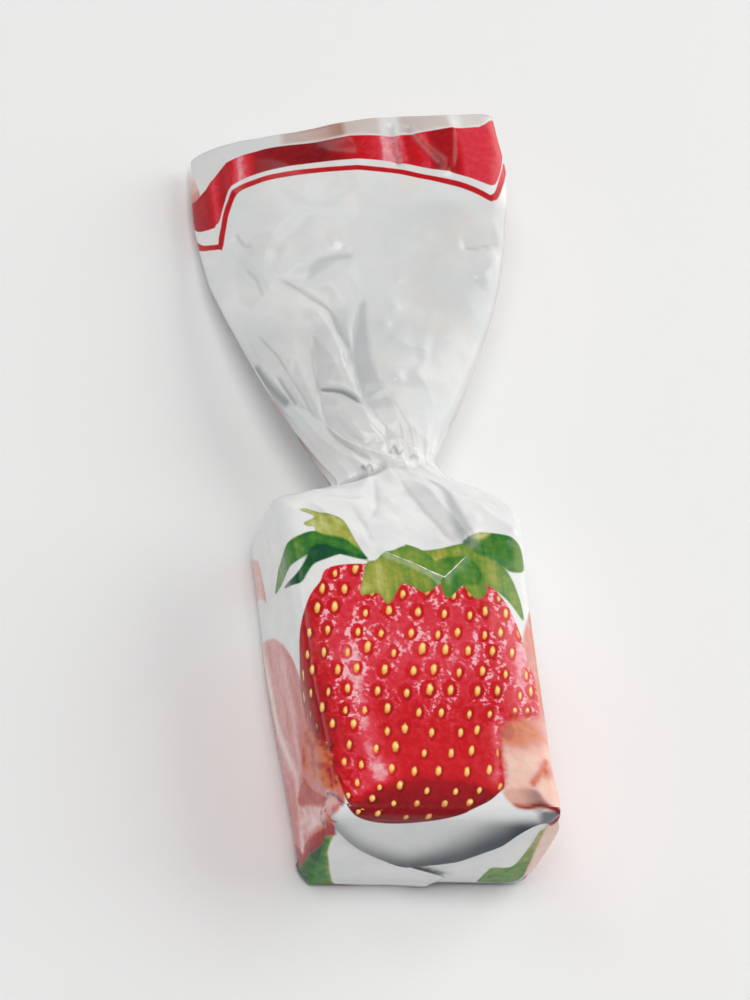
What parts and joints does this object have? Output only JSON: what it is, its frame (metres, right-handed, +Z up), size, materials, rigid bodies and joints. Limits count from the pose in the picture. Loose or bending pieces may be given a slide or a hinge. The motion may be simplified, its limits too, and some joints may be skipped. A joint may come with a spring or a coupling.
{
  "type": "wrapped jelly candy",
  "caption": "Jelly sweet shut in a glossy printed film: a block with a folded end, a twisted pleated neck and an open fan of film, lying on its back.",
  "frame": {"origin": "middle of the bounding box's base, on the surface that the sweet lies on", "axes": "+Y from the folded end to the fan of film, +X across the sweet to the printed face's right, +Z up out of the printed face"},
  "size_m": [0.0328, 0.0894, 0.0157],
  "materials": {
    "film": "glossy printed wrapping film"
  },
  "bodies": {
    "root": {"wrapped_sweet": "film"}
  },
  "joints": []
}
